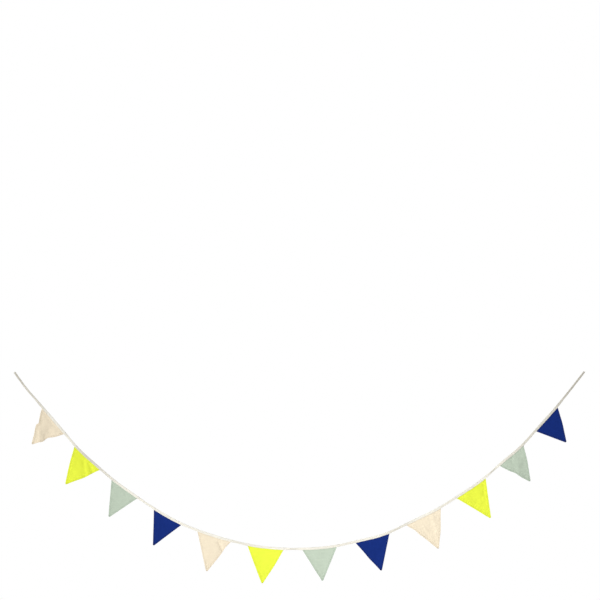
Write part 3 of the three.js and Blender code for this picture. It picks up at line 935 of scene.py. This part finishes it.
tape_height += UNEVEN_HEIGHT * ripple(waves(11, 6, 30, 160), stations)
print("stations:", len(stations), "height", round(tape_height.min(), 1), "to", round(tape_height.max(), 1))

# %% How it rolls in the gaps, and where the stitches pinch it
UNEVEN_ROLL = 5.0
STEADY_END = 40.0
TAPE_PITCH = 2.9
PINCH = 0.12
PINCH_AT_STITCH = 0.05
UNEVEN_PINCH = 0.03

roll = np.zeros_like(stations)
for before, after in zip(seats, seats[1:]):
    begin = before.top_end + OPEN_MARGIN + CLOSING_LENGTH
    end = after.top_start - OPEN_MARGIN - CLOSING_LENGTH
    share = np.clip((stations - begin) / (end - begin), 0, 1)
    roll += after.gap_roll * np.sin(math.pi * share)
steady = smooth_step(0, STEADY_END, stations) * smooth_step(0, STEADY_END, TAPE_LENGTH - stations)
roll += (1 - covered) * steady * UNEVEN_ROLL * ripple(waves(12, 5, 45, 120), stations)
pinch = -PINCH - PINCH_AT_STITCH * np.cos(2 * math.pi * stations / TAPE_PITCH)
pinch -= UNEVEN_PINCH * ripple(waves(13, 6, 7, 30), stations)

point, down = route_at(stations)
turn = np.radians(roll)[:, None]
across = down * np.cos(turn) + BACK * np.sin(turn)
through = BACK * np.cos(turn) - down * np.sin(turn)
centre = point + down * tape_height[:, None] / 2
print("roll up to", round(float(abs(roll).max()), 1), "degrees")

# %% Helpers for geometry


def read(tree, name, kind="FLOAT"):
    return node(tree, "GeometryNodeInputNamedAttribute", {"Name": name}, data_type=kind).outputs["Attribute"]


def store(tree, geometry, name, value, kind="FLOAT", domain="POINT"):
    kept = {"Geometry": geometry, "Name": name, "Value": value}
    return first(tree, "GeometryNodeStoreNamedAttribute", kept, data_type=kind, domain=domain)


def vector(tree, **parts):
    return first(tree, "ShaderNodeCombineXYZ", parts)


def tube(tree, curve, profile):
    """A closed mesh: the profile swept along the curve, with its ends filled in."""
    swept = {"Curve": curve, "Profile Curve": profile, "Fill Caps": True}
    return first(tree, "GeometryNodeCurveToMesh", swept)


def dressed(tree, geometry, material):
    """Real faces, shaded smooth, in a material."""
    real = first(tree, "GeometryNodeRealizeInstances", {"Geometry": geometry})
    smooth = first(tree, "GeometryNodeSetShadeSmooth", {"Geometry": real, "Shade Smooth": True})
    return first(tree, "GeometryNodeSetMaterial", {"Geometry": smooth, "Material": material})


def made_by(tree, source, name, values):
    """Runs a tree on an object, and keeps the result as a plain mesh in its place."""
    modifier = source.modifiers.new("made", "NODES")
    modifier.node_group = tree
    for item in tree.interface.items_tree:
        if item.in_out == "INPUT" and item.name in values:
            modifier[item.identifier] = values[item.name]
    bpy.context.view_layer.update()
    evaluated = source.evaluated_get(bpy.context.evaluated_depsgraph_get())
    mesh = bpy.data.meshes.new_from_object(evaluated)
    made = bpy.data.objects.new(name, mesh)
    bpy.context.scene.collection.objects.link(made)
    bpy.data.objects.remove(source)
    return made


# %% The sweep
sweep, given, out = group(
    "folded tape",
    "Geometry",
    {"Geometry": "Geometry", "Section": "Object", "Cloth": "Material"},
    {"Geometry": "Geometry"},
)
rail = first(sweep, "GeometryNodeMeshToCurve", {"Mesh": given["Geometry"]})
ring = node(sweep, "GeometryNodeObjectInfo", {"Object": given["Section"]}, transform_space="ORIGINAL")
ring = first(sweep, "GeometryNodeMeshToCurve", {"Mesh": ring.outputs["Geometry"]})
tall = read(sweep, "height")
fall = calc(sweep, "MULTIPLY_ADD", read(sweep, "of_height"), tall, read(sweep, "offset_down"))
fall = calc(sweep, "SUBTRACT", fall, calc(sweep, "MULTIPLY", tall, 0.5))
stand = read(sweep, "offset_out")
for share, whole in (("of_slot", "half_slot"), ("of_pinch", "pinch")):
    stand = calc(sweep, "MULTIPLY_ADD", read(sweep, share), read(sweep, whole), stand)
stand = calc(sweep, "MULTIPLY", stand, read(sweep, "leaf_side"))
fall = stretched(sweep, read(sweep, "across", "FLOAT_VECTOR"), fall)
stand = stretched(sweep, read(sweep, "through", "FLOAT_VECTOR"), stand)
moved = on_vectors(sweep, "ADD", fall, stand)
moved = on_vectors(sweep, "ADD", moved, read(sweep, "centre", "FLOAT_VECTOR"))
placed = {"Geometry": tube(sweep, rail, ring), "Position": moved}
placed = first(sweep, "GeometryNodeSetPosition", placed)
measure = vector(sweep, X=read(sweep, "distance"), Y=read(sweep, "girth"))
marked = store(sweep, placed, PATTERN, measure, "FLOAT2", "CORNER")
sweep.links.new(dressed(sweep, marked, given["Cloth"]), out["Geometry"])
print("sweep:", len(sweep.nodes), "nodes")

# %% Sweep the tape
rail_source = mesh_object("rail", centre, edges=[(i, i + 1) for i in range(len(stations) - 1)])
# The rail also carries the tape's painted shade for each stretch.
give(rail_source, distance=stations * MM, handled=column_at("shade", stations))
give(rail_source, height=tape_height * MM, half_slot=half_slot * MM, pinch=pinch * MM)
give(rail_source, centre=centre * MM, across=across, through=through)

of_height, offset_down, of_slot, offset_out, of_pinch, leaf_side = np.array(section, float).T
flat_out = leaf_side * (of_slot * 0.3 + offset_out)
flat_section = np.stack([flat_out, -(of_height * TAPE_BARE + offset_down), 0 * of_height], -1)
count = len(section)
ring_source = mesh_object("section", flat_section, edges=[(i, (i + 1) % count) for i in range(count)])
girth = np.concatenate([[0], np.cumsum(np.linalg.norm(np.diff(flat_section, axis=0), axis=1))])
give(ring_source, of_height=of_height, of_slot=of_slot, of_pinch=of_pinch, leaf_side=leaf_side)
give(ring_source, offset_down=offset_down * MM, offset_out=offset_out * MM, girth=girth * MM)
tape = made_by(sweep, rail_source, "tape_cloth", {"Section": ring_source, "Cloth": cloths["tape"]})
bpy.data.objects.remove(ring_source)
print(tape.name, len(tape.data.vertices), "points", len(tape.data.polygons), "faces")

# %% [markdown]
# ## Stitches
# A seam is thousands of short threads that rise out of the cloth and dive back in. One small bent
# thread is made once, and Geometry Nodes sets it down at equal steps along each seam line, turned to
# the line and to the cloth's face, with a little seeded wobble, because no hand or machine is exact.
# Dashes in the material would be lighter, but they would lie flat and cast no shadow.

# %% Helpers for threads
PLIES_PER_STITCH = 4.0


def bent_thread(tree, start, middle, end, thickness, sides, twisted):
    """A short length of thread that bends from start to end. A twisted one holds its ply number."""
    curve = {"Resolution": 4, "Start": start, "Middle": middle, "End": end}
    curve = first(tree, "GeometryNodeCurveQuadraticBezier", curve)
    ring = {"Resolution": sides, "Radius": calc(tree, "MULTIPLY", thickness, 0.5)}
    ring = first(tree, "GeometryNodeCurvePrimitiveCircle", ring)
    if not twisted:
        return tube(tree, curve, ring)
    curve = store(tree, curve, "ply_along", first(tree, "GeometryNodeSplineParameter"))
    ring = store(tree, ring, "ply_round", first(tree, "GeometryNodeSplineParameter"))
    along, around = read(tree, "ply_along"), read(tree, "ply_round")
    twist = calc(tree, "MULTIPLY_ADD", along, PLIES_PER_STITCH, around)
    return store(tree, tube(tree, curve, ring), PLY, twist)


def scatter(tree, points, piece, along, facing, swung, **more):
    """Sets a piece down on points, its x along and its z facing one way, and swings it a little more."""
    ways = {0: along, 1: facing}
    aimed = first(tree, "FunctionNodeAxesToRotation", ways, primary_axis="X", secondary_axis="Z")
    swung = {"Rotation": aimed, "Rotate By": first(tree, "FunctionNodeEulerToRotation", {0: swung})}
    swung = first(tree, "FunctionNodeRotateRotation", swung, rotation_space="LOCAL")
    placed = {"Points": points, "Instance": piece, "Rotation": swung, **more}
    return first(tree, "GeometryNodeInstanceOnPoints", placed)


# %% The stitch tree
sewing, given, out = group(
    "row of stitches",
    "Geometry",
    {
        "Geometry": "Geometry",
        "Pitch": 0.003,
        "Length": 0.0026,
        "Thickness": 0.0003,
        "Rise": 0.0001,
        "Dip": 0.00025,
        "Wobble": 0.07,
        "Seed": 0,
        "Thread": "Material",
    },
    {"Geometry": "Geometry"},
)
seam = first(sewing, "GeometryNodeMeshToCurve", {"Mesh": given["Geometry"]})
spots = {"Curve": seam, "Length": given["Pitch"]}
spots = first(sewing, "GeometryNodeResampleCurve", spots, mode="LENGTH")
reach = calc(sewing, "MULTIPLY", given["Length"], 0.5)
sink = calc(sewing, "MULTIPLY", given["Dip"], -1.0)
start = vector(sewing, X=calc(sewing, "MULTIPLY", reach, -1.0), Z=sink)
top = vector(sewing, Z=calc(sewing, "MULTIPLY_ADD", given["Rise"], 2.0, given["Dip"]))
end = vector(sewing, X=reach, Z=sink)
stitch = bent_thread(sewing, start, top, end, given["Thickness"], 6, twisted=True)
swing = {2: calc(sewing, "MULTIPLY", given["Wobble"], -1.0), 3: given["Wobble"], "Seed": given["Seed"]}
swing = node(sewing, "FunctionNodeRandomValue", swing, data_type="FLOAT").outputs[1]
tangent = first(sewing, "GeometryNodeInputTangent")
facing = read(sewing, "facing", "FLOAT_VECTOR")
sewn = scatter(sewing, spots, stitch, tangent, facing, vector(sewing, Z=swing))
sewing.links.new(dressed(sewing, sewn, given["Thread"]), out["Geometry"])
print("stitch tree:", len(sewing.nodes), "nodes")

# %% [markdown]
# ## Seam lines
# On the front of a pennant both rows of stitches run right out to the far edge near the tip. On the
# back, the hem that was sewn first is covered there by the other one, so its row stops at that hem.
# The tape has a row near its lower edge, through all its layers, so it shows on both faces.

# %% Sew the hems
SEAM_STEP = 1.0
SEAM_INSIDE = 1.2  # how far from the other side a row stops
COVERED_SEAM_INSIDE = HEM_WIDTH + 0.8
SEAM_UP_TAPE = 2.0
HEM_PITCH = 2.6
STITCH_GAP = 0.35
THREAD_PROUD = 0.05


def seam_line(seat, side, face):
    """Flat points down one hem's row of stitches."""
    other = "right" if side == "left" else "left"
    top, run, inward = seat.sides[side]
    along = np.arange(0, 1.2 * seat.to_apex, SEAM_STEP)[:, None]
    flat = np.array([top, 0.0]) + inward * HEM_STITCH + run * along
    stop = COVERED_SEAM_INSIDE if face == "back" and side == "left" else SEAM_INSIDE
    room = from_side(seat, other, flat[:, 0], flat[:, 1])[0]
    return flat[(flat[:, 1] > HIDDEN - SEAM_UP_TAPE) & (room > stop)]


def sew(name, lines, thread, pitch, seed):
    """One piece of stitching from several lines, each a pair of points and facing directions."""
    points = np.concatenate([line for line, _ in lines])
    edges, begin = [], 0
    for line, _ in lines:
        edges += [(i, i + 1) for i in range(begin, begin + len(line) - 1)]
        begin += len(line)
    source = mesh_object("seams", points, edges=edges)
    give(source, facing=np.concatenate([facing for _, facing in lines]))
    sizes = {"Pitch": pitch * MM, "Length": (pitch - STITCH_GAP) * MM}
    return made_by(sewing, source, name, {**sizes, "Seed": seed, "Thread": thread})


def sew_pennant(seat):
    """A row down each hem, on the front and on the back."""
    lines = []
    for face in ("front", "back"):
        for side in seat.sides:
            flat = seam_line(seat, side, face)
            middle, normal = hung_with_normal(seat, *flat.T)
            front, back, _ = build_up(seat, *flat.T, nearest(flat, seat.folded))
            stand, way = (front, normal) if face == "front" else (back, -normal)
            lines.append((middle + way * (stand + THREAD_PROUD)[:, None], way))
    return sew(f"{seat.node}_stitching", lines, threads[seat.colour], HEM_PITCH, seat.number)


hem_stitching = [sew_pennant(seat) for seat in seats]
print("hem stitching:", sum(len(made.data.polygons) for made in hem_stitching), "faces")

# %% Sew the tape
END_CLEARANCE = 1.5


def tape_row(face):
    stand = half_slot + LEAF + pinch + THREAD_PROUD
    out_way = -through if face == "front" else through
    line = centre + across * (tape_height / 2 - TAPE_STITCH)[:, None] + out_way * stand[:, None]
    kept = (stations > END_CLEARANCE) & (stations < TAPE_LENGTH - END_CLEARANCE)
    return line[kept], out_way[kept]


tape_rows = [tape_row("front"), tape_row("back")]
tape_stitching = sew("tape_stitching", tape_rows, threads["tape"], TAPE_PITCH, 50)
print("tape stitching:", len(tape_stitching.data.polygons), "faces")

# %% [markdown]
# ## Cut ends
# The tape is simply cut at both ends, and cut cotton frays. A hair system would do, but has to be
# turned into faces in the end, so a few short fibres are set on the edges of the four layers. Each
# fibre is the bent thread again, untwisted, turned any way round its length and splayed a little by
# a seeded draw.

# %% The fibre tree
fraying, given, out = group(
    "frayed end",
    "Geometry",
    {
        "Geometry": "Geometry",
        "Length": 0.0022,
        "Thickness": 0.00016,
        "Splay": 0.5,
        "Seed": 0,
        "Fibre": "Material",
    },
    {"Geometry": "Geometry"},
)
length, splay, seed = given["Length"], given["Splay"], given["Seed"]
root = (-0.0008, 0, 0)
middle = vector(fraying, X=calc(fraying, "MULTIPLY", length, 0.6))
tip = vector(fraying, X=length, Z=calc(fraying, "MULTIPLY", length, 0.35))
hair = bent_thread(fraying, root, middle, tip, given["Thickness"], 5, twisted=False)
back_splay = calc(fraying, "MULTIPLY", splay, -1.0)
least = vector(fraying, X=-3.14, Y=back_splay, Z=back_splay)
most = vector(fraying, X=3.14, Y=splay, Z=splay)
turned = {0: least, 1: most, "Seed": seed}
turned = first(fraying, "FunctionNodeRandomValue", turned, data_type="FLOAT_VECTOR")
grown = {2: 0.5, 3: 1.5, "Seed": seed}
grown = node(fraying, "FunctionNodeRandomValue", grown, data_type="FLOAT").outputs[1]
outward = read(fraying, "outward", "FLOAT_VECTOR")
hairs = scatter(fraying, given["Geometry"], hair, outward, (0.0, 0.0, 1.0), turned, Scale=grown)
fraying.links.new(dressed(fraying, hairs, given["Fibre"]), out["Geometry"])
print("fibre tree:", len(fraying.nodes), "nodes")

# %% Fray both ends
FIRST_FIBRE = 1.2
LAST_FIBRE = TAPE_AT_ENDS - 0.6
FIBRE_STEP = 0.8

roots, outward = [], []
for station, way in ((0, -1.0), (-1, 1.0)):
    tangent = np.cross(through[station], across[station])
    tangent = tangent * np.sign(tangent[0]) * way
    for stand in (half_slot[station] + STRIP / 2, half_slot[station] + LEAF - STRIP / 2):
        for leaf in (-1, 1):
            for fall in np.arange(FIRST_FIBRE, LAST_FIBRE, FIBRE_STEP):
                root = centre[station] + across[station] * (fall - tape_height[station] / 2)
                roots.append(root + through[station] * stand * leaf)
                outward.append(tangent)
source = mesh_object("fibre roots", roots)
give(source, outward=outward)
fray = made_by(fraying, source, "tape_fray", {"Seed": 5, "Fibre": threads["tape"]})
print("fibres:", len(roots), "faces:", len(fray.data.polygons))

# %% [markdown]
# ## Tell the frame where each piece rides
# Every piece rides on the imported model's one body and names the solid it stands for, which is hidden.

# %% Ride and replace
for seat, cloth, stitching in zip(seats, pennants, hem_stitching):
    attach(cloth, "root")
    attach(stitching, "root")
    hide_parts(seat.node)
for piece in (tape, tape_stitching, fray):
    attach(piece, "root")
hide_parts("tape")
